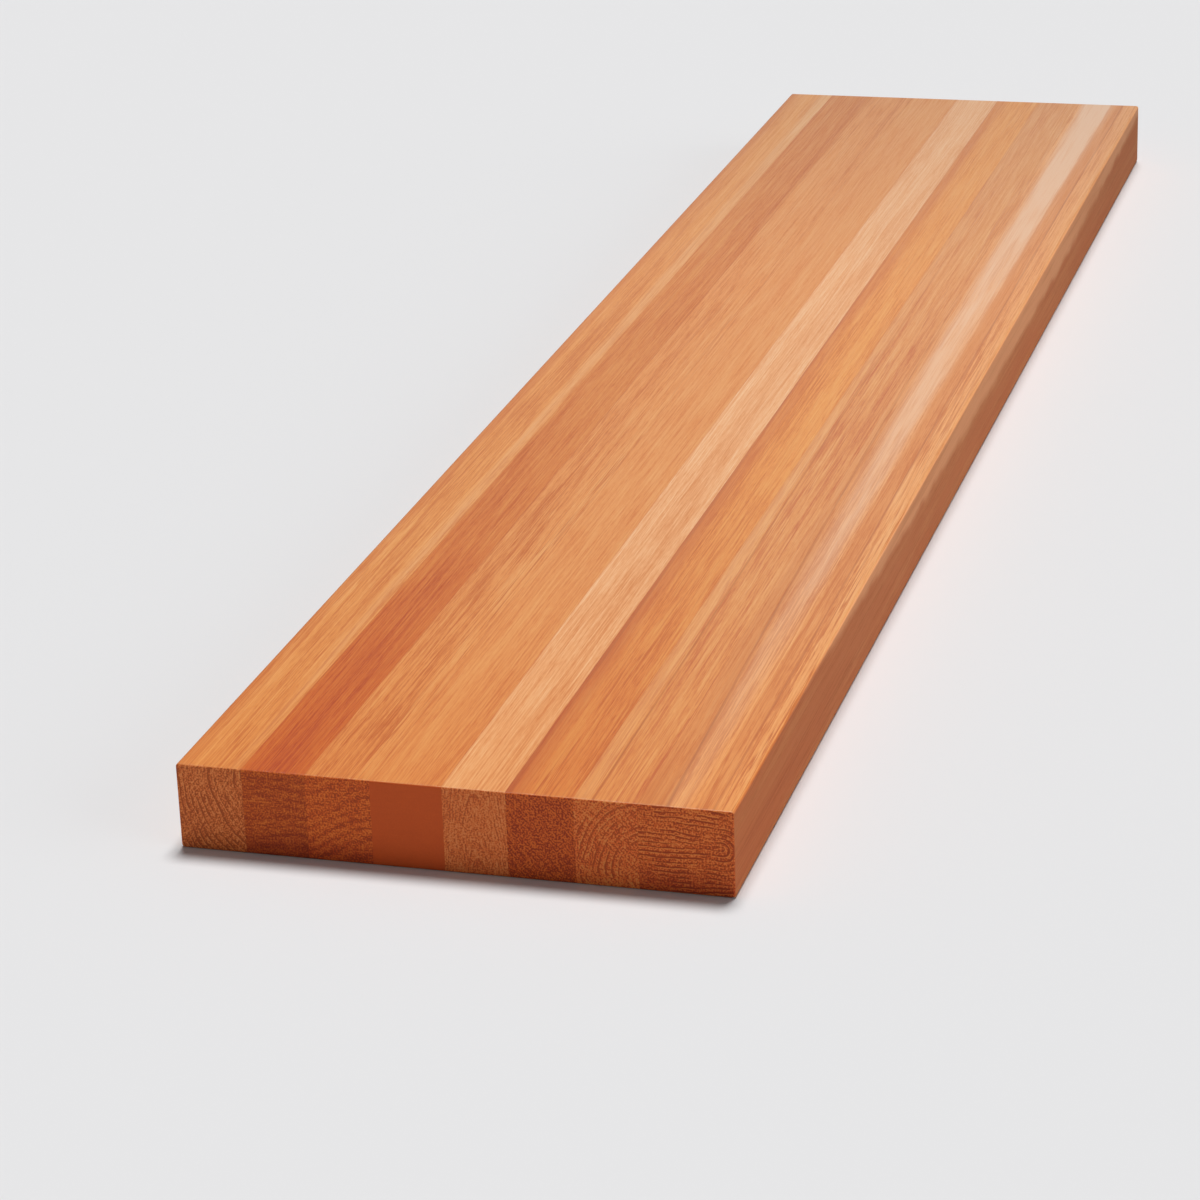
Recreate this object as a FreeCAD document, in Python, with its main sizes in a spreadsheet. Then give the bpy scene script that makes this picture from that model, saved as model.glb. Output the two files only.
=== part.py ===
import FreeCAD, Part
import os

import Sketcher

# Stair tread glued up from solid staves
# Eight hardwood staves run the whole length and are glued side by side, edge to edge,
# into one thick board. Each stave keeps the width it was ripped to, so no two glue
# lines are evenly spaced. The board is then sawn square and its outer edges are eased.
# X runs along the grain, Y across the tread and Z up. The origin is the middle of the
# underside. The front edge of the tread, where the foot lands, faces -Y.

# Driving sizes in millimetres: name, value and what it measures
SIZES = [
    ("tread_length", 1200.0, "along the grain, from end face to end face"),
    ("tread_thickness", 40.0, "from the underside to the walking surface"),
    ("back_edge_stave_width", 30.5, "first stave, whose outer side is the back edge"),
    ("second_stave_width", 29.0, "darkest stave"),
    ("third_stave_width", 29.5, "fine-lined stave"),
    ("fourth_stave_width", 32.5, "plain stave left of the pale one"),
    ("fifth_stave_width", 28.5, "pale stave in the middle"),
    ("sixth_stave_width", 30.0, "stave right of the pale one"),
    ("seventh_stave_width", 28.0, "narrowest stave"),
    ("front_edge_stave_width", 42.0, "wide stave, whose outer side is the front edge"),
    ("long_arris_radius", 1.5, "rounding of the four long outer edges"),
    ("end_arris_radius", 1.0, "rounding around both sawn ends"),
]

# Staves from the back edge of the tread to the front edge
STAVES = [
    "back_edge_stave",
    "second_stave",
    "third_stave",
    "fourth_stave",
    "fifth_stave",
    "sixth_stave",
    "seventh_stave",
    "front_edge_stave",
]
BACK_STAVE = STAVES[0]
FRONT_STAVE = STAVES[-1]

# How near two positions must be to count as the same, in millimetres
SAME_PLACE = 1e-5

# Which number of a point runs along the grain, and which across the tread
ALONG = 0
ACROSS = 1


def size_sheet(document):
    """Write the driving sizes into a sheet, one named cell to a row."""
    sheet = document.addObject("Spreadsheet::Sheet", "Sizes")
    for row, (name, value, meaning) in enumerate(SIZES, start=1):
        sheet.set(f"A{row}", name)
        sheet.set(f"B{row}", str(value))
        sheet.set(f"C{row}", meaning)
        sheet.setAlias(f"B{row}", name)
    document.recompute()
    return sheet


def width_sum(staves):
    """Return the expression for the widths of these staves, added up."""
    return " + ".join(f"Sizes.{stave}_width" for stave in staves)


def draw_section(body, width):
    """Draw the cross-section of a stave: a rectangle that stands on the underside."""
    section = body.newObject("Sketcher::SketchObject", body.Label + "_section")
    end_plane = next(plane for plane in body.Origin.OriginFeatures if plane.Role == "YZ_Plane")
    section.AttachmentSupport = [(end_plane, "")]
    section.MapMode = "FlatFace"

    sheet = body.Document.getObject("Sizes")
    wide = getattr(sheet, width)
    high = sheet.tread_thickness
    corners = [(0, 0), (wide, 0), (wide, high), (0, high)]
    points = [FreeCAD.Vector(across, up, 0) for across, up in corners]
    bottom, back_side, top, front_side = [
        section.addGeometry(Part.LineSegment(start, end), False)
        for start, end in zip(points, points[1:] + points[:1])
    ]
    sides = [bottom, back_side, top, front_side]
    for side, following in zip(sides, sides[1:] + sides[:1]):
        section.addConstraint(Sketcher.Constraint("Coincident", side, 2, following, 1))
    for level in (bottom, top):
        section.addConstraint(Sketcher.Constraint("Horizontal", level))
    for upright in (back_side, front_side):
        section.addConstraint(Sketcher.Constraint("Vertical", upright))
    section.addConstraint(Sketcher.Constraint("Coincident", bottom, 1, -1, 1))
    across = section.addConstraint(Sketcher.Constraint("DistanceX", bottom, 1, bottom, 2, wide))
    up = section.addConstraint(
        Sketcher.Constraint("DistanceY", back_side, 1, back_side, 2, high)
    )
    section.renameConstraint(across, "ripped_width")
    section.renameConstraint(up, "planed_thickness")
    section.setExpression("Constraints.ripped_width", f"Sizes.{width}")
    section.setExpression("Constraints.planed_thickness", "Sizes.tread_thickness")
    return section


def saw_to_length(body, section):
    """Run the cross-section out along the grain, half to each side of the middle."""
    blank = body.newObject("PartDesign::Pad", body.Label + "_blank")
    blank.Profile = section
    blank.SideType = "Symmetric"
    blank.setExpression("Length", "Sizes.tread_length")
    section.Visibility = False
    body.Document.recompute()
    return blank


def round_edges(body, base, name, radius, edges):
    """Round these edges of the base with the radius of that name."""
    rounding = body.newObject("PartDesign::Fillet", f"{body.Label}_{name}")
    rounding.Base = (base, edges)
    rounding.setExpression("Radius", f"Sizes.{radius}")
    body.Document.recompute()
    return rounding


def outer_side(stave, width):
    """Return where the outer side of an edge stave lies in its own section, or None."""
    return {BACK_STAVE: width, FRONT_STAVE: 0.0}.get(stave)


def lies_at(edge, axis, place):
    """Tell whether an edge lies wholly at one place along an axis."""
    ends = [vertex.Point[axis] for vertex in edge.Vertexes]
    return all(abs(end - place) < SAME_PLACE for end in ends)


def bounds_sawn_end(edge, half_length):
    """Tell whether an edge goes round one of the two sawn ends."""
    return any(lies_at(edge, ALONG, end) for end in (-half_length, half_length))


def long_arrises(solid, outer, half_length):
    """Name the edges that run along the outer side of an edge stave."""
    return [
        f"Edge{number}"
        for number, edge in enumerate(solid.Shape.Edges, start=1)
        if lies_at(edge, ACROSS, outer) and not bounds_sawn_end(edge, half_length)
    ]


def end_arrises(solid, glued, half_length):
    """Name the edges round both sawn ends, apart from those in a glue line."""
    return [
        f"Edge{number}"
        for number, edge in enumerate(solid.Shape.Edges, start=1)
        if bounds_sawn_end(edge, half_length)
        and not any(lies_at(edge, ACROSS, side) for side in glued)
    ]


def make_stave(document, number, stave):
    """Make one stave, rip its section, saw it to length and ease what is left outside."""
    body = document.addObject("PartDesign::Body", stave)
    body.Label = stave
    width_name = f"{stave}_width"
    sheet = document.getObject("Sizes")
    width = getattr(sheet, width_name)
    half_length = sheet.tread_length / 2

    section = draw_section(body, width_name)
    solid = saw_to_length(body, section)

    # The long arrises first, so that the end rounding then follows them round the corner
    outer = outer_side(stave, width)
    if outer is not None:
        edges = long_arrises(solid, outer, half_length)
        solid = round_edges(body, solid, "long_arrises", "long_arris_radius", edges)
    glued = [side for side in (0.0, width) if side != outer]
    edges = end_arrises(solid, glued, half_length)
    round_edges(body, solid, "end_arrises", "end_arris_radius", edges)

    # Each stave starts where the one in front of it ends, and the whole lies about the middle
    passed = width_sum(STAVES[: number + 1])
    body.setExpression("Placement.Base.y", f"({width_sum(STAVES)}) / 2 - ({passed})")
    return body


def check_and_write(document, bodies):
    """Stop if anything failed to build, and otherwise write each stave to its own file."""
    for item in document.Objects:
        if "Invalid" in item.State or "Error" in item.State:
            raise RuntimeError(f"{item.Label} did not build: {item.State}")
    for body in bodies:
        if body.Shape.isNull() or not body.Shape.isValid() or len(body.Shape.Solids) != 1:
            raise RuntimeError(f"{body.Label} is not one valid solid")
    os.makedirs("parts", exist_ok=True)
    for body in bodies:
        body.Shape.exportStep(f"parts/{body.Label}.step")


document = FreeCAD.newDocument("stair_tread")
size_sheet(document)
staves = [make_stave(document, number, stave) for number, stave in enumerate(STAVES)]
document.recompute()
check_and_write(document, staves)
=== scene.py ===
"""Dress, light and frame a stair tread that is glued up from eight full-length hardwood staves.

The staves come from the frame at their real size and stay as they are. Each one gets a wood of
its own that runs right through it: growth rings about the heart of the tree, long streaks, fine
fibres and open pores. The same figure then shows as arcs on the sawn ends and as lines along the
faces, and it joins up over the rounded edges.
"""

import logging
import math
from dataclasses import dataclass
from enum import Enum

import bpy
from bpy.types import Material, NodeSocket, NodeTree, Object
from mathutils import Matrix, Vector


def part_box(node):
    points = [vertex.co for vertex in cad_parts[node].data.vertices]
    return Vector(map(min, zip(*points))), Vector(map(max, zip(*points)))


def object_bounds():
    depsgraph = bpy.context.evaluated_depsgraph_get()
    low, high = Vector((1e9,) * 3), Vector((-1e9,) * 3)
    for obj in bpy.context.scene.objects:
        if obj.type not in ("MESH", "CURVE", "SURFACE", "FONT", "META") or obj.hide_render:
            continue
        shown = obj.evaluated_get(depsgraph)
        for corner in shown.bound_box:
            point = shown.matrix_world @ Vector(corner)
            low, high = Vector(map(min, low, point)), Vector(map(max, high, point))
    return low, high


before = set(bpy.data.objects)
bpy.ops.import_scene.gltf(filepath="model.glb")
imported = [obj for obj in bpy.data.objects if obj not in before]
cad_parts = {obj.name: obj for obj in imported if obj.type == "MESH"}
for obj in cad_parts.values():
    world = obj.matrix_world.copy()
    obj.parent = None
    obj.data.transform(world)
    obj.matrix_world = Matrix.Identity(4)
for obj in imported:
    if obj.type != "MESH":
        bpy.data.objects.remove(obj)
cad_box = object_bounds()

log = logging.getLogger("stair_tread")

MM = 0.001
MM_PER_M = 1000.0

# The middle of the range from 0 to 1, about which every pattern varies
HALFWAY = 0.5

# Inputs and output of a Mix node that mixes colours, and its inputs when it mixes numbers
MIX_FACTOR = 0
MIX_A = 6
MIX_B = 7
MIX_COLOUR = 2
MIX_NUMBER_A = 2
MIX_NUMBER_B = 3

# Inputs of a Map Range node: the value, its range, and the range it is brought to
RANGE_VALUE = 0
RANGE_LOW = 1
RANGE_HIGH = 2
RANGE_FIRST = 3
RANGE_LAST = 4


class Lamp(Enum):
    """The lamps of the studio, by what each one does."""

    KEY = "key_from_above_and_behind"
    FILL = "fill_from_the_front"


@dataclass(frozen=True)
class SunLamp:
    """A lamp so far off that it lights the tread and the floor evenly."""

    kind: Lamp
    strength: float
    spread: float
    comes_from: tuple[float, float, float]

    def hang(self) -> Object:
        """Put the lamp in the scene.

        Returns:
            The lamp.
        """
        data = bpy.data.lights.new(self.kind.value, "SUN")
        data.energy = self.strength
        data.angle = math.radians(self.spread)
        lamp = bpy.data.objects.new(self.kind.value, data)
        bpy.context.scene.collection.objects.link(lamp)
        lamp.rotation_euler = (-Vector(self.comes_from)).to_track_quat("-Z", "Y").to_euler()
        return lamp


def linear_colour(hex_colour: str) -> tuple[float, float, float, float]:
    """Turn an sRGB hex colour into the linear colour that a shader takes.

    Args:
        hex_colour: Six hex digits after a hash sign.

    Returns:
        Red, green, blue and an alpha of one.
    """
    parts = [int(hex_colour[start : start + 2], 16) / 255 for start in (1, 3, 5)]
    red, green, blue = [
        part / 12.92 if part <= 0.04045 else ((part + 0.055) / 1.055) ** 2.4 for part in parts
    ]
    return (red, green, blue, 1.0)


def add_node(
    tree: NodeTree,
    kind: str,
    feeds: dict | None = None,
    output: int | str = 0,
    stops: tuple = (),
    **settings: object,
) -> NodeSocket:
    """Add one node with its settings and links.

    Args:
        tree: The material's or world's node tree.
        kind: The node's type, without the word ShaderNode.
        feeds: What each input gets, by name or number: another node's output, or a value.
        output: The output to hand on, by name or number.
        stops: For a colour ramp, its places and hex colours.
        **settings: The node's own settings.

    Returns:
        The chosen output of the new node.
    """
    node = tree.nodes.new(f"ShaderNode{kind}")
    for name, value in settings.items():
        setattr(node, name, value)
    for key, value in (feeds or {}).items():
        if isinstance(value, NodeSocket):
            tree.links.new(value, node.inputs[key])
        else:
            node.inputs[key].default_value = value
    for index, (place, colour) in enumerate(stops):
        elements = node.color_ramp.elements
        stop = elements[index] if index < 2 else elements.new(place)
        stop.position = place
        stop.color = linear_colour(colour)
    return node.outputs[output]


class Run(Enum):
    """Where a band lies: the axis that places it, and the axis along which its faces look."""

    ON_TOP = ("Y", "Z")
    ON_SIDE = ("Z", "Y")


class Growth(Enum):
    """How the tone runs through one growth ring, from early wood to late wood and on.

    Each value is a ramp from the ring's start to its end. A linear grey of a half leaves the
    tone alone.
    """

    CRISP = (
        (0.0, "#F4F4F4"), (0.24, "#BCBCBC"), (0.56, "#BCBCBC"), (0.78, "#000000"), (0.95, "#000000"),
    )
    SOFT = ((0.0, "#BCBCBC"), (0.3, "#D8D8D8"), (0.72, "#404040"), (1.0, "#BCBCBC"))


@dataclass(frozen=True)
class Palette:
    """The dark, middle and pale tone of a cut through the wood."""

    dark: str
    middle: str
    pale: str


@dataclass(frozen=True)
class Band:
    """A stripe of other colour along a stave: other wood, such as sapwood, or on a long side painted
    light and shade.

    middle and half_width are in mm, from the middle of the stave's underside. drift moves the
    stripe sideways by so many mm over a metre, and bow bends it so that it is that many mm off at
    a metre from mid length. widening adds so many mm to its half width over a metre, and gain so
    much to its strength. ragged is how far its sides stray, in mm.
    """

    middle: float
    half_width: float
    soft: float
    colour: str
    strength: float = 1.0
    drift: float = 0.0
    bow: float = 0.0
    widening: float = 0.0
    gain: float = 0.0
    ragged: float = 0.0
    run: Run = Run.ON_TOP


@dataclass(frozen=True)
class Pattern:
    """A pattern of marks that run along the grain.

    along and across are the mean distances between its marks, in mm. detail is how many finer
    layers it has, and shift sets it apart from the other patterns.
    """

    along: float
    across: float
    detail: float
    shift: float


@dataclass(frozen=True)
class Rings:
    """The growth rings of a stave. Lengths are in mm.

    pith is where the heart of the tree lies, from the middle of the stave's underside at mid
    length. lean is how far it moves sideways and up over a metre. oval draws the rings out
    sideways, and they run level for the length of flat to each side of the pith.
    """

    pith: tuple[float, float]
    width: float = 3.0
    growth: Growth = Growth.CRISP
    lean: tuple[float, float] = (6.0, 4.0)
    oval: float = 1.0
    flat: float = 0.0
    on_face: float = 0.2
    on_end: float = 0.8


@dataclass(frozen=True)
class StaveLook:
    """How one stave looks.

    seed sets its figure apart from the others. near_tint colours its near end. streaks, fibres
    and lines are how strong those marks are on its faces, and flecks on its ends. fleck_turn is
    the slope of those flecks in degrees. Its tint for the lowest part of its ends is a painted
    shade where they meet the floor.
    """

    node: str
    seed: float
    face: Palette
    end: Palette
    rings: Rings
    streaks: float = 0.5
    fibres: float = 1.15
    lines: float = 0.75
    flecks: float = 1.1
    fleck_turn: float = 0.0
    bands: tuple[Band, ...] = ()
    near_tint: str = "#FFFFFF"
    foot_painted_shade: str = "#FFFFFF"


class Hardwood:
    """Reddish hardwood, ripped, glued up, planed, sanded and oiled.

    Planing and oil leave a satin face that shows every fibre and pales where it is seen at a
    low angle. The long edges were only ripped and sanded, which leaves them duller. Sawing leaves
    dull ends that drink the oil and so turn darker and redder.
    """

    # How the grain as a whole wanders and waves, and how far that bends it, in mm
    WANDER = Pattern(700.0, 80.0, 1.0, 3.0)
    WAVE = Pattern(160.0, 26.0, 1.0, 9.0)
    WANDER_REACH = 5.0
    WAVE_REACH = 0.8

    # How the rings drift and ripple, by how many ring widths, and where they show
    RING_DRIFT = Pattern(500.0, 26.0, 1.0, 21.0)
    RING_RIPPLE = Pattern(40.0, 5.0, 2.0, 25.0)
    RING_DRIFT_REACH = 2.0
    RING_RIPPLE_REACH = 0.6
    RING_PATCH = Pattern(500.0, 13.0, 1.0, 29.0)

    # The faintest year's share of a ring's strength, and how much the strongest year adds
    FAINTEST_YEAR = 0.4
    YEARS_VARY = 0.6

    # The marks on the faces, from broad tints down to pores. Real fibres and pores are about
    # 0.1 mm across, which no picture of the whole tread shows, so they are drawn coarser.
    BROAD = Pattern(700.0, 14.0, 1.0, 51.0)
    STREAK = Pattern(340.0, 4.0, 2.0, 41.0)
    FIBRE = Pattern(48.0, 0.8, 2.0, 31.0)
    PORE = Pattern(7.0, 0.55, 1.0, 75.0)
    CLOUD = Pattern(90.0, 40.0, 1.0, 61.0)
    BROAD_SHARE = 0.5
    CLOUD_SHARE = 0.2
    PORE_SHARE = -0.5

    # Fine dark lines, which run where this pattern is near its middle level, and in clusters
    LINE = Pattern(150.0, 2.2, 2.0, 71.0)
    LINE_WIDTH = 0.05
    CLUSTER = Pattern(380.0, 9.0, 1.0, 81.0)

    # How the bands break up in patches, and how their sides stray
    PATCH = Pattern(150.0, 7.0, 2.0, 87.0)
    STRAY = Pattern(26.0, 16.0, 2.0, 93.0)

    # The marks on the sawn ends: clouds, open pores and torn fibres, drawn coarser too
    END_CLOUD = Pattern(90.0, 40.0, 2.0, 61.0)
    SPECKLE = Pattern(0.8, 0.8, 0.0, 91.0)
    TORN = Pattern(0.8, 0.8, 2.0, 91.0)
    END_CLOUD_SHARE = 0.5
    SPECKLE_PER_FLECK = 1.4

    # Length and thickness of a fleck on a sawn end, in mm
    FLECK = (3.2, 0.75)

    # Where a mark fades with a pattern: from this level to that, from this strength to that
    RING_FADE = (0.4, 0.56, 0.2)
    CLUSTER_FADE = (0.42, 0.6, 0.3)
    PATCH_FADE = (0.38, 0.56, 0.7, 1.05)
    FIBRE_FADE = (0.36, 0.6, 0.8, 1.05)
    PORE_FADE = (0.56, 0.7)

    # Where a palette's dark, middle and pale colours stand on the scale of tones
    DARK_TONE = 0.12
    MIDDLE_TONE = 0.5
    PALE_TONE = 0.88

    # How squarely a surface has to look along an axis to start to count as facing it, and to
    # count wholly
    SQUARELY = (0.5, 0.8)

    # The heights between which the painted shade on the lowest part of the ends fades out, in mm
    PAINTED_FOOT_SHADE_HEIGHTS = (3.0, 15.0)

    # A glue line, which on an outer long side darkens the whole face as a painted shade: where its
    # shade starts and is full, in mm from the joint, and what it is
    GLUE_START = 0.35
    GLUE_FULL = 0.05
    JOINT_AND_SIDE_SHADE_STRENGTH = 0.18
    JOINT_AND_SIDE_SHADE_COLOUR = "#C0693C"

    # Roughness: satin faces that follow the fibres from 0.36 to 0.28, duller long edges, and
    # sawn ends
    SATIN = (0.3, 0.7, 0.36, 0.28)
    LONG_EDGE_ROUGHNESS = 0.65
    SAWN_ROUGHNESS = 0.75

    # The height of the relief in mm, how strongly it shades, and the share of each pattern
    RELIEF_MM = 0.1
    RELIEF_STRENGTH = 0.4
    FIBRE_RELIEF = 0.6
    PORE_RELIEF = -0.6
    TORN_RELIEF = 1.2

    # What spreads one stave's seed over the three axes of a pattern
    SEED_SPREAD = (1.0, 0.3, 0.6)

    # How strongly the marks on the faces show, at the near end and at the far end
    LIVELY = (1.15, 0.65)

    # Painted light along the length: a warmer, deeper near end and a darker, cooler far end,
    # standing in for light that falls off towards the far end: place and tint
    PAINTED_FALLOFF_ALONG_TREAD = ((0.0, "#FDEED5"), (0.22, "#FFFFFF"), (0.62, "#FFFFFF"), (1.0, "#ECF3FC"))

    def __init__(self, look: StaveLook) -> None:
        """Start an empty material for one stave.

        Args:
            look: The stave's colours and figure.
        """
        self.look = look
        self.material = bpy.data.materials.new(f"{look.node}_planed_and_oiled_hardwood")
        self.material.use_nodes = True
        self.tree = self.material.node_tree
        self.tree.nodes.clear()
        low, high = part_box(look.node)
        self.middle_mm = (low.y + high.y) / 2 * MM_PER_M
        self.half_mm = (high.y - low.y) / 2 * MM_PER_M

    def add(self, kind: str, feeds: dict, output: int | str = 0, **settings: object) -> NodeSocket:
        """Add a node to this material, as add_node does."""
        return add_node(self.tree, kind, feeds, output, **settings)

    def sums(self, kind: str, *values: object) -> NodeSocket:
        """Add a Math node of the kind named, with its values in order."""
        return self.add("Math", dict(enumerate(values)), operation=kind)

    def part(self, vector: NodeSocket, axis: str) -> NodeSocket:
        """Take one axis out of a vector."""
        return self.add("SeparateXYZ", {0: vector}, axis)

    def between(
        self, value: NodeSocket, low: float, high: float, first: float = 0.0, last: float = 1.0
    ) -> NodeSocket:
        """Move smoothly from one number to another while a value goes from low to high.

        Args:
            value: The value that is followed.
            low: Where the move starts.
            high: Where the move ends.
            first: The number up to low.
            last: The number from high on.

        Returns:
            The number.
        """
        return self.add(
            "MapRange",
            {
                RANGE_VALUE: value,
                RANGE_LOW: low,
                RANGE_HIGH: high,
                RANGE_FIRST: first,
                RANGE_LAST: last,
            },
            interpolation_type="SMOOTHSTEP",
        )

    def noise(self, place: NodeSocket, pattern: Pattern, output: str = "Fac") -> NodeSocket:
        """Add a pattern of marks that run along the grain.

        Args:
            place: The point in the wood, in mm.
            pattern: The pattern.
            output: Fac for a value, or Color for three at once.

        Returns:
            A value from 0 to 1 that lies mostly near 0.5.
        """
        along, across, up = (self.look.seed * share for share in self.SEED_SPREAD)
        scaled = self.add(
            "Mapping",
            {
                "Vector": place,
                "Location": (along + pattern.shift, across + pattern.shift, up),
                "Scale": (1 / pattern.along, 1 / pattern.across, 1 / pattern.across),
            },
        )
        feeds = {"Vector": scaled, "Scale": 1.0, "Detail": pattern.detail}
        return self.add("TexNoise", feeds, output)

    def wood_place(self) -> NodeSocket:
        """Give the point in the stave in mm, from the middle of its underside."""
        here = self.add("TexCoord", {}, "Object")
        return self.add(
            "Mapping",
            {
                "Vector": here,
                "Location": (0.0, -self.middle_mm, 0.0),
                "Scale": (MM_PER_M, MM_PER_M, MM_PER_M),
            },
        )

    def grain_place(self, place: NodeSocket) -> NodeSocket:
        """Bend the point a little across the grain, because no tree grows dead straight.

        Args:
            place: The point in the stave, in mm.

        Returns:
            The bent point, in mm.
        """
        bent = place
        for pattern, reach in ((self.WANDER, self.WANDER_REACH), (self.WAVE, self.WAVE_REACH)):
            swirl = self.noise(place, pattern, "Color")
            swing = self.add("VectorMath", {0: swirl, 1: (HALFWAY,) * 3}, operation="SUBTRACT")
            bent = self.add(
                "VectorMath", {0: swing, 1: (0.0, reach, reach), 2: bent}, operation="MULTIPLY_ADD"
            )
        return bent

    def ring_tone(self, grain: NodeSocket) -> NodeSocket:
        """Draw the growth rings about the pith, some years stronger than others.

        Args:
            grain: The bent point, in mm.

        Returns:
            A tone below 0 in late wood, above 0 in early wood and 0 between them.
        """
        rings = self.look.rings
        along = self.part(grain, "X")
        pith_across = self.sums("MULTIPLY_ADD", along, rings.lean[0] * MM, rings.pith[0])
        pith_up = self.sums("MULTIPLY_ADD", along, rings.lean[1] * MM, rings.pith[1])
        sideways = self.sums("SUBTRACT", self.part(grain, "Y"), pith_across)
        past_flat = self.sums("SUBTRACT", self.sums("ABSOLUTE", sideways), rings.flat)
        arm = self.add(
            "CombineXYZ",
            {
                "Y": self.sums("DIVIDE", self.sums("MAXIMUM", past_flat, 0.0), rings.oval),
                "Z": self.sums("SUBTRACT", self.part(grain, "Z"), pith_up),
            },
        )
        radius = self.add("VectorMath", {0: arm}, "Value", operation="LENGTH")
        drift = self.noise(grain, self.RING_DRIFT)
        ripple = self.noise(grain, self.RING_RIPPLE)
        uneven = self.sums("MULTIPLY_ADD", drift, self.RING_DRIFT_REACH * rings.width, radius)
        uneven = self.sums("MULTIPLY_ADD", ripple, self.RING_RIPPLE_REACH * rings.width, uneven)
        count = self.sums("DIVIDE", uneven, rings.width)
        within = self.sums("FRACT", count)
        drawn = self.add("ValToRGB", {0: within}, stops=rings.growth.value)
        year = self.sums("FLOOR", count)
        vigour = self.add("TexWhiteNoise", {"W": year}, "Value", noise_dimensions="1D")
        yearly = self.sums("MULTIPLY_ADD", vigour, self.YEARS_VARY, self.FAINTEST_YEAR)
        patch = self.between(self.noise(grain, self.RING_PATCH), *self.RING_FADE)
        strength = self.sums("MULTIPLY", yearly, patch)
        return self.sums("MULTIPLY", self.sums("SUBTRACT", drawn, HALFWAY), strength)

    def weighed(self, parts: list[tuple[NodeSocket, float]], start: float) -> NodeSocket:
        """Add patterns up, each about its middle and times its weight.

        Args:
            parts: Each pattern and its weight.
            start: The tone where every pattern is at its middle.

        Returns:
            The tone, from dark at 0 to pale at 1.
        """
        tone: NodeSocket | float = start - sum(weight * HALFWAY for _, weight in parts)
        for pattern, weight in parts:
            tone = self.sums("MULTIPLY_ADD", pattern, weight, tone)
        return tone

    def mixed(
        self, factor: NodeSocket | float, first: NodeSocket, second: object, blend: str = "MIX"
    ) -> NodeSocket:
        """Mix two colours.

        Args:
            factor: How much of the second colour there is.
            first: The colour underneath.
            second: The colour on top.
            blend: How they mix.

        Returns:
            The mixed colour.
        """
        return self.add(
            "Mix",
            {MIX_FACTOR: factor, MIX_A: first, MIX_B: second},
            MIX_COLOUR,
            data_type="RGBA",
            blend_type=blend,
        )

    def toned(self, tone: NodeSocket, palette: Palette) -> NodeSocket:
        """Turn a tone into a colour of the palette."""
        stops = (
            (self.DARK_TONE, palette.dark),
            (self.MIDDLE_TONE, palette.middle),
            (self.PALE_TONE, palette.pale),
        )
        return self.add("ValToRGB", {0: tone}, stops=stops)

    def faces(self, axis: str) -> NodeSocket:
        """Tell faces that look along an axis, at 1, from all others, at 0."""
        normal = self.add("TexCoord", {}, "Normal")
        return self.between(self.sums("ABSOLUTE", self.part(normal, axis)), *self.SQUARELY)

    def banded(self, colour: NodeSocket, grain: NodeSocket) -> NodeSocket:
        """Lay the stave's bands over its colour: stripes of other wood, and painted light and shade
        on a long side.

        Args:
            colour: The colour without bands.
            grain: The bent point, in mm.

        Returns:
            The colour with bands.
        """
        metres = self.sums("MULTIPLY", self.part(grain, "X"), MM)
        patchy = self.between(self.noise(grain, self.PATCH), *self.PATCH_FADE)
        fibrous = self.between(self.noise(grain, self.FIBRE), *self.FIBRE_FADE)
        patchy_fibrous = self.sums("MULTIPLY", patchy, fibrous)
        straying = self.sums("SUBTRACT", self.noise(grain, self.STRAY), HALFWAY)
        for band in self.look.bands:
            placed_by, looks_along = band.run.value
            slope = self.sums("MULTIPLY_ADD", metres, band.bow, band.drift)
            centre = self.sums("MULTIPLY_ADD", metres, slope, band.middle)
            strayed = self.sums("MULTIPLY_ADD", straying, 2.0 * band.ragged, centre)
            offset = self.sums("SUBTRACT", self.part(grain, placed_by), strayed)
            distance = self.sums(
                "MULTIPLY_ADD", metres, -band.widening, self.sums("ABSOLUTE", offset)
            )
            inner, outer = band.half_width - band.soft, band.half_width + band.soft
            inside = self.between(distance, inner, outer, 1.0, 0.0)
            strength = self.sums("MULTIPLY_ADD", metres, band.gain, band.strength)
            patchy_band = self.sums("MULTIPLY", self.sums("MULTIPLY", inside, strength), patchy_fibrous)
            shown = self.sums("MULTIPLY", patchy_band, self.faces(looks_along))
            colour = self.mixed(shown, colour, linear_colour(band.colour))
        return colour

    def face_colour(self, place: NodeSocket, grain: NodeSocket, rings: NodeSocket) -> NodeSocket:
        """Colour the planed faces: streaks and fibres along the grain.

        Args:
            place: The point in the stave, in mm.
            grain: The bent point, in mm.
            rings: The ring tone.

        Returns:
            The colour.
        """
        look = self.look
        tone = self.weighed(
            [
                (self.noise(grain, self.STREAK), look.streaks),
                (self.noise(grain, self.BROAD), self.BROAD_SHARE),
                (self.noise(grain, self.CLOUD), self.CLOUD_SHARE),
                (self.noise(grain, self.FIBRE), look.fibres),
                (self.noise(grain, self.PORE), self.PORE_SHARE),
            ],
            self.MIDDLE_TONE,
        )
        tone = self.sums("MULTIPLY_ADD", rings, look.rings.on_face, tone)
        half = self.half_length_mm()
        lively = self.between(self.part(place, "X"), -half, half, *self.LIVELY)
        contrast = self.sums("SUBTRACT", tone, self.MIDDLE_TONE)
        tone = self.sums("MULTIPLY_ADD", contrast, lively, self.MIDDLE_TONE)
        level = self.sums("SUBTRACT", self.noise(grain, self.LINE), HALFWAY)
        line = self.between(self.sums("ABSOLUTE", level), 0.0, self.LINE_WIDTH, 1.0, 0.0)
        cluster = self.between(self.noise(grain, self.CLUSTER), *self.CLUSTER_FADE)
        clustered = self.sums("MULTIPLY", self.sums("MULTIPLY", line, cluster), look.lines)
        drawn = self.sums("MULTIPLY", clustered, lively)
        lined = self.mixed(drawn, self.toned(tone, look.face), linear_colour(look.face.dark))
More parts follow.
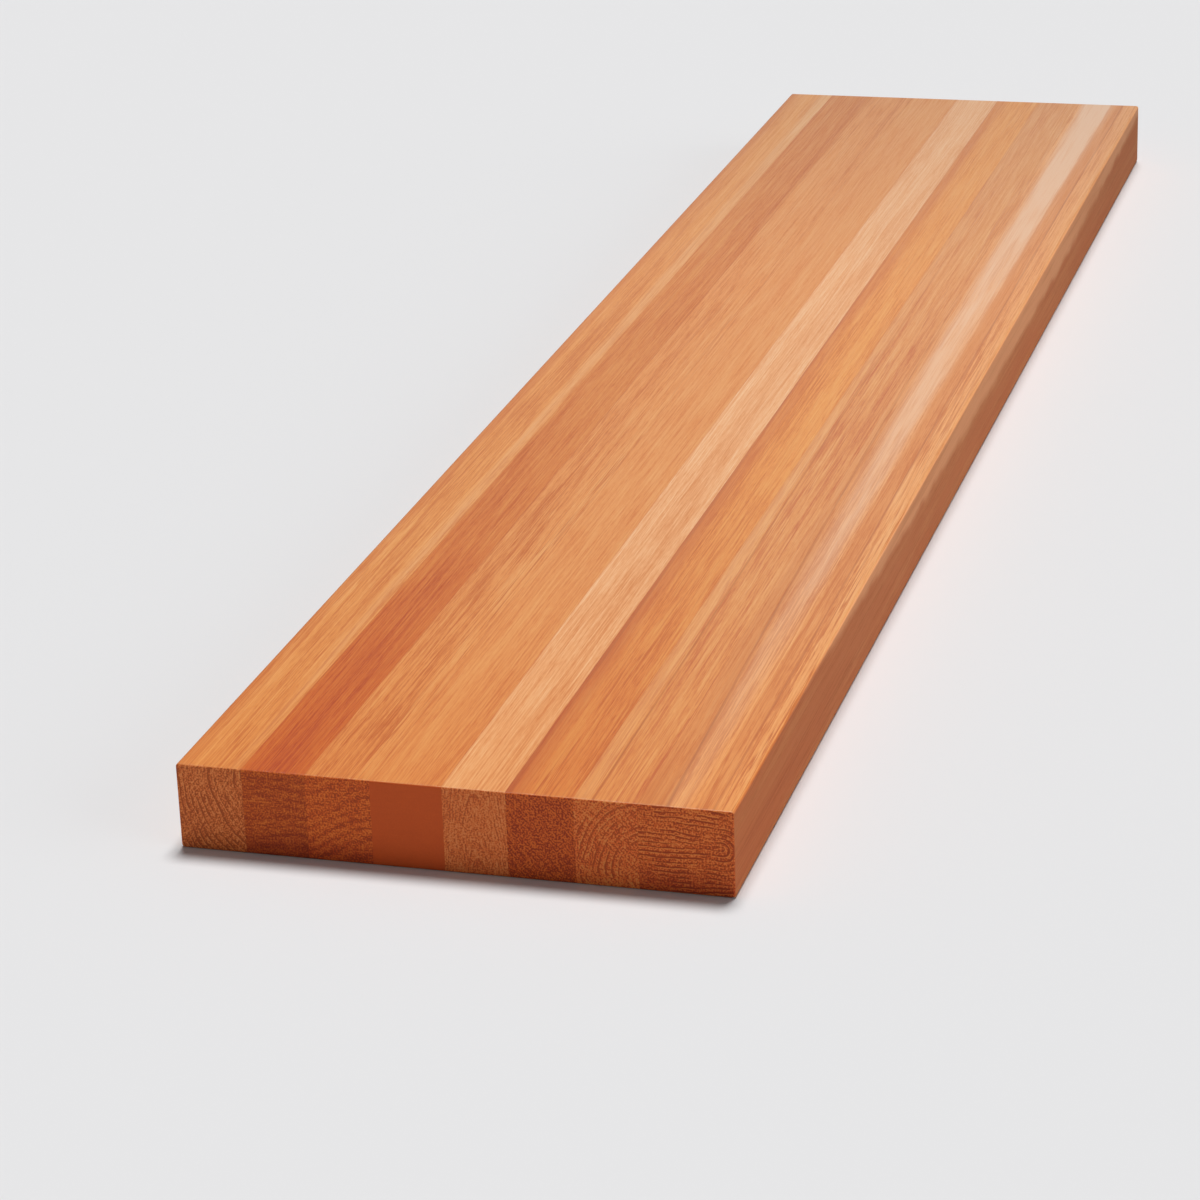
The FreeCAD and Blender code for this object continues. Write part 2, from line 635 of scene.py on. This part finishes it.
        colour = self.banded(lined, grain)
        near = self.add(
            "ValToRGB",
            {0: self.between(self.part(place, "X"), -half, 0.0)},
            stops=((0.0, look.near_tint), (1.0, "#FFFFFF")),
        )
        colour = self.mixed(1.0, colour, near, "MULTIPLY")
        # Painted light: a warmer near end and a darker, cooler far end, as the light falls off along
        # the tread
        along = self.add(
            "MapRange", {RANGE_VALUE: self.part(place, "X"), RANGE_LOW: -half, RANGE_HIGH: half}
        )
        painted_falloff = self.add("ValToRGB", {0: along}, stops=self.PAINTED_FALLOFF_ALONG_TREAD)
        return self.mixed(1.0, colour, painted_falloff, "MULTIPLY")

    def end_colour(self, place: NodeSocket, grain: NodeSocket, rings: NodeSocket) -> NodeSocket:
        """Colour the sawn ends: rings, flecks and open pores.

        Args:
            place: The point in the stave, in mm.
            grain: The bent point, in mm.
            rings: The ring tone.

        Returns:
            The colour.
        """
        look = self.look
        length, thickness = self.FLECK
        turned = self.add(
            "VectorRotate",
            {"Vector": place, "Angle": math.radians(look.fleck_turn)},
            rotation_type="X_AXIS",
        )
        fleck = self.add(
            "TexNoise",
            {
                "Vector": self.add(
                    "Mapping",
                    {
                        "Vector": turned,
                        "Location": (look.seed, 0.0, 0.0),
                        "Scale": (1 / length, 1 / length, 1 / thickness),
                    },
                ),
                "Scale": 1.0,
                "Detail": 1.0,
            },
        )
        tone = self.weighed(
            [
                (fleck, look.flecks),
                (self.noise(place, self.SPECKLE), self.SPECKLE_PER_FLECK * look.flecks),
                (self.noise(grain, self.END_CLOUD), self.END_CLOUD_SHARE),
            ],
            self.MIDDLE_TONE,
        )
        tone = self.sums("MULTIPLY_ADD", rings, look.rings.on_end, tone)
        # Painted shade: the lowest part of each end darkened where it meets the floor
        foot = self.add(
            "ValToRGB",
            {0: self.between(self.part(grain, "Z"), *self.PAINTED_FOOT_SHADE_HEIGHTS)},
            stops=((0.0, look.foot_painted_shade), (1.0, "#FFFFFF")),
        )
        return self.mixed(1.0, self.toned(tone, look.end), foot, "MULTIPLY")

    def half_length_mm(self) -> float:
        """Give half the tread's length in mm."""
        return cad_box[1][0] * MM_PER_M

    def glue_lines_and_side_shade(self, place: NodeSocket, colour: NodeSocket) -> NodeSocket:
        """Darken the last trace of wood beside each side of the stave: a glue line at a glued side,
        and a painted shade over the whole of an outer long side.

        Args:
            place: The point in the stave, in mm.
            colour: The wood's colour.

        Returns:
            The colour with the glue lines.
        """
        # Real dark joint on glued sides; on an outer long side this darkens the whole face, a
        # painted shade
        outward = self.sums("ABSOLUTE", self.part(place, "Y"))
        start = self.half_mm - self.GLUE_START
        full = self.half_mm - self.GLUE_FULL
        line = self.between(outward, start, full, 0.0, self.JOINT_AND_SIDE_SHADE_STRENGTH)
        return self.mixed(line, colour, linear_colour(self.JOINT_AND_SIDE_SHADE_COLOUR), "MULTIPLY")

    def make(self) -> Material:
        """Build the stave's wood.

        Returns:
            The finished material.
        """
        place = self.wood_place()
        grain = self.grain_place(place)
        rings = self.ring_tone(grain)

        sawn = self.faces("X")
        face = self.glue_lines_and_side_shade(place, self.face_colour(place, grain, rings))
        colour = self.mixed(sawn, face, self.end_colour(place, grain, rings))

        fibre = self.noise(grain, self.FIBRE)
        pore = self.between(self.noise(grain, self.PORE), *self.PORE_FADE)
        satin = self.between(fibre, *self.SATIN)
        planed_roughness = self.add(
            "MapRange",
            {
                RANGE_VALUE: self.faces("Y"),
                RANGE_FIRST: satin,
                RANGE_LAST: self.LONG_EDGE_ROUGHNESS,
            },
        )
        roughness = self.add(
            "MapRange",
            {RANGE_VALUE: sawn, RANGE_FIRST: planed_roughness, RANGE_LAST: self.SAWN_ROUGHNESS},
        )
        planed = self.weighed([(fibre, self.FIBRE_RELIEF), (pore, self.PORE_RELIEF)], HALFWAY)
        torn = self.weighed([(self.noise(place, self.TORN), self.TORN_RELIEF)], HALFWAY)
        relief = self.add(
            "Mix",
            {MIX_FACTOR: sawn, MIX_NUMBER_A: planed, MIX_NUMBER_B: torn},
            data_type="FLOAT",
        )
        bump = self.add(
            "Bump",
            {
                "Height": relief,
                "Strength": self.RELIEF_STRENGTH,
                "Distance": self.RELIEF_MM * MM,
            },
        )
        shader = self.add(
            "BsdfPrincipled",
            {
                "Base Color": colour,
                "Roughness": roughness,
                "Normal": bump,
                "IOR": 1.5,
                "Specular IOR Level": 0.5,
            },
        )
        output = self.tree.nodes.new("ShaderNodeOutputMaterial")
        self.tree.links.new(shader, output.inputs["Surface"])
        return self.material


@dataclass
class Tread:
    """The tread: its staves from the back edge to the front edge, and how each one looks."""

    looks: tuple[StaveLook, ...]

    def dress(self) -> list[Object]:
        """Give each stave its wood.

        Returns:
            The staves.
        """
        staves = []
        for look in self.looks:
            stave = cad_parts[look.node]
            wood = Hardwood(look).make()
            for slot in stave.material_slots:
                slot.material = wood
            low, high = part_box(look.node)
            log.info("%s: %.1f mm wide", look.node, (high.y - low.y) * MM_PER_M)
            staves.append(stave)
        return staves


@dataclass
class Studio:
    """A pale floor, soft light and the camera that took the picture. Lengths are in metres.

    sky_light is the grey that lights the scene from all round. Gloss shows a backdrop instead,
    which sky_shine gives by how near a way out of the scene lies to backdrop_way. The camera
    looks along the tread, turned, down and rolled by so many degrees.
    """

    floor_side: float = 12.0
    floor_colour: str = "#E1E1E2"
    sky_light: float = 0.1
    sky_shine: tuple[tuple[float, str], ...] = (
        (0.0, "#202020"), (0.85, "#404040"), (0.95, "#808080"), (1.0, "#D0D0D0"),
    )
    backdrop_way: tuple[float, float, float] = (0.975, 0.15, 0.16)
    lamps: tuple[SunLamp, ...] = (
        SunLamp(Lamp.KEY, 2.95, 18.0, (0.29, 0.0, 1.0)),
        SunLamp(Lamp.FILL, 0.8, 60.0, (-0.1, -0.96, 0.15)),
    )
    camera_place: tuple[float, float, float] = (-1.977, -0.474, 0.700)
    camera_turn: float = -16.35
    camera_down: float = 21.62
    camera_roll: float = 2.03
    lens: float = 112.4

    def build(self) -> None:
        """Make the floor, the world, the lamps and the camera."""
        self.floor()
        self.world()
        for lamp in self.lamps:
            lamp.hang()
        self.camera()

    def seen_or_shone(self, tree: NodeTree) -> NodeSocket:
        """Tell apart what the camera or a reflection sees from what lights the object.

        Args:
            tree: The floor's or the world's node tree.

        Returns:
            1 for a ray of the camera or of a reflection, and 0 for light that spreads.
        """
        camera_ray = add_node(tree, "LightPath", {}, "Is Camera Ray")
        glossy_ray = add_node(tree, "LightPath", {}, "Is Glossy Ray")
        return add_node(tree, "Math", {0: camera_ray, 1: glossy_ray}, operation="MAXIMUM")

    def floor(self) -> Object:
        """Lay the floor under the tread.

        Returns:
            The floor.
        """
        bpy.ops.object.select_all(action="DESELECT")
        bpy.ops.mesh.primitive_plane_add(size=self.floor_side, location=(0, 0, cad_box[0][2]))
        floor = bpy.context.object
        floor.name = "floor"
        # So that gloss on the tread shows the backdrop and not the floor
        floor.visible_glossy = False
        material = bpy.data.materials.new("matt_paper_floor")
        material.use_nodes = True
        tree = material.node_tree
        tree.nodes.clear()
        shader = add_node(tree, "BsdfDiffuse", {"Color": linear_colour(self.floor_colour)})
        output = tree.nodes.new("ShaderNodeOutputMaterial")
        tree.links.new(shader, output.inputs["Surface"])
        floor.data.materials.append(material)
        return floor

    def world(self) -> None:
        """Light the scene softly from all round, and let gloss show a backdrop that is
        bright low down and dim overhead."""
        world = bpy.data.worlds.new("studio")
        bpy.context.scene.world = world
        world.use_nodes = True
        tree = world.node_tree
        tree.nodes.clear()
        way = add_node(tree, "TexCoord", {}, "Generated")
        nearness = add_node(
            tree, "VectorMath", {0: way, 1: self.backdrop_way}, "Value", operation="DOT_PRODUCT"
        )
        shine = add_node(tree, "ValToRGB", {0: nearness}, stops=self.sky_shine)
        light = (self.sky_light, self.sky_light, self.sky_light, 1.0)
        colour = add_node(
            tree,
            "Mix",
            {MIX_FACTOR: self.seen_or_shone(tree), MIX_A: light, MIX_B: shine},
            MIX_COLOUR,
            data_type="RGBA",
        )
        shader = add_node(tree, "Background", {"Color": colour, "Strength": 1.0})
        output = tree.nodes.new("ShaderNodeOutputWorld")
        tree.links.new(shader, output.inputs["Surface"])

    def camera(self) -> Object:
        """Set up the camera where the picture was taken from.

        Returns:
            The camera.
        """
        turn, down, roll = (
            math.radians(angle) for angle in (self.camera_turn, self.camera_down, self.camera_roll)
        )
        forward = Vector(
            (
                math.cos(turn) * math.cos(down),
                -math.sin(turn) * math.cos(down),
                -math.sin(down),
            )
        )
        level = forward.cross(Vector((0, 0, 1))).normalized()
        sunk = forward.cross(level).normalized()
        right = level * math.cos(roll) + sunk * math.sin(roll)
        up = right.cross(forward)
        data = bpy.data.cameras.new("camera")
        data.sensor_width = 36.0
        data.lens = self.lens
        camera = bpy.data.objects.new("camera", data)
        bpy.context.scene.collection.objects.link(camera)
        turned = Matrix((right, up, -forward)).transposed().to_4x4()
        camera.matrix_world = Matrix.Translation(self.camera_place) @ turned
        bpy.context.scene.camera = camera
        return camera


LOOKS = (
    StaveLook(
        "back_edge_stave", 11.0,
        Palette("#CD7232", "#E6974F", "#EFAB67"), Palette("#BB5319", "#E4712F", "#F7954F"),
        Rings((-46.0, 40.0), 2.6, on_face=0.15, on_end=1.4), fleck_turn=55.0,
        bands=(
            Band(15.0, 5.0, 4.0, "#CC7038", 0.6),
            Band(-12.0, 2.8, 2.4, "#EEB47C", 0.5, 1.0, widening=3.0, gain=0.2),
        ),
    ),
    StaveLook(
        "second_stave", 23.0,
        Palette("#BE5B1A", "#D8803A", "#E49A4F"), Palette("#AF3F07", "#D15712", "#E87623"),
        Rings((4.0, -60.0), 4.4, Growth.SOFT, on_face=0.1, on_end=0.9), lines=0.35,
        near_tint="#F3CFA4", foot_painted_shade="#E4CABC",
    ),
    StaveLook(
        "third_stave", 37.0,
        Palette("#C76929", "#E4924D", "#ECA865"), Palette("#B7440C", "#E15E15", "#F57E2A"),
        Rings((-25.0, -60.0), 5.2, Growth.SOFT, on_face=0.2), lines=0.8, foot_painted_shade="#ECD4C8",
    ),
    StaveLook(
        "fourth_stave", 41.0,
        Palette("#D17432", "#E4934F", "#ECA763"), Palette("#D45410", "#DB5812", "#E25F17"),
        Rings((10.0, 160.0), 4.0, Growth.SOFT, on_face=0.1, on_end=0.1),
        streaks=0.3, lines=0.3, flecks=0.3,
    ),
    StaveLook(
        "fifth_stave", 53.0,
        Palette("#D98748", "#EEAA71", "#F8C492"), Palette("#CA571D", "#ED732F", "#F79550"),
        Rings((2.0, -60.0), 8.0, oval=0.12, on_face=0.1), streaks=0.4, lines=0.35, fleck_turn=90.0,
    ),
    StaveLook(
        "sixth_stave", 67.0,
        Palette("#CF712D", "#EA974A", "#F1AD5E"), Palette("#A93906", "#CE5011", "#E86E22"),
        Rings((-24.0, -30.0), 3.0, on_end=0.3), flecks=1.6, fleck_turn=-45.0,
        near_tint="#F1E0DA",
        bands=(
            Band(12.0, 4.0, 3.0, "#CC6E36", 0.5),
            Band(14.6, 0.8, 0.8, "#B85C2C", 0.5, widening=-2.0),
        ),
    ),
    StaveLook(
        "seventh_stave", 79.0,
        Palette("#C96C39", "#E19352", "#ECAA6A"), Palette("#C44E15", "#F4712A", "#F5964A"),
        Rings((-20.0, 8.0), 2.8, on_end=1.1), fleck_turn=-45.0,
        bands=(
            Band(10.6, 2.2, 1.8, "#EDAE72", 0.4, 0.6, widening=-1.6, gain=-0.3),
            Band(6.6, 0.5, 0.4, "#B8642F", 0.3, 2.6, gain=-0.8),
        ),
    ),
    StaveLook(
        "front_edge_stave", 97.0,
        Palette("#CA7035", "#EB9F5E", "#F4B374"), Palette("#B5440D", "#E6651F", "#F88B3D"),
        Rings((20.0, 25.0), 2.2, flat=31.0, on_face=0.2, on_end=1.7), lines=0.8,
        foot_painted_shade="#ECD4C8",
        bands=(
            Band(16.5, 6.0, 3.0, "#CA7840", 0.28, 3.0, gain=-0.6),
            Band(18.1, 0.6, 0.5, "#A85A30", 0.2, 7.4, -14.0, gain=-0.8),
            Band(6.2, 7.0, 4.2, "#F0BE96", 0.8, 2.5, widening=5.0, gain=0.75),
            Band(-6.3, 4.1, 0.7, "#D88548", 0.56, 2.0, gain=0.15, ragged=0.8),
            Band(-10.4, 0.5, 0.5, "#B45E2E", 0.6, 1.5),
            # Painted shade: the whole long side darker and redder than the top, as it gets less
            # light. Painted light: a paler band along the upper part of the side, away from the near
            # end, where the eased edge turns up to the light.
            Band(14.0, 40.0, 2.0, "#DE793F", 0.65, run=Run.ON_SIDE),
            Band(44.5, 20.0, 3.5, "#FFB47A", 1.0, -12.5, 48.0, ragged=4.0, run=Run.ON_SIDE),
        ),
    ),
)


def main() -> None:
    """Build the tread and the studio in order."""
    logging.basicConfig(level=logging.INFO, format="%(message)s")
    bpy.context.scene.view_settings.view_transform = "Standard"
    Tread(LOOKS).dress()
    Studio().build()


if __name__ == "__main__":
    main()
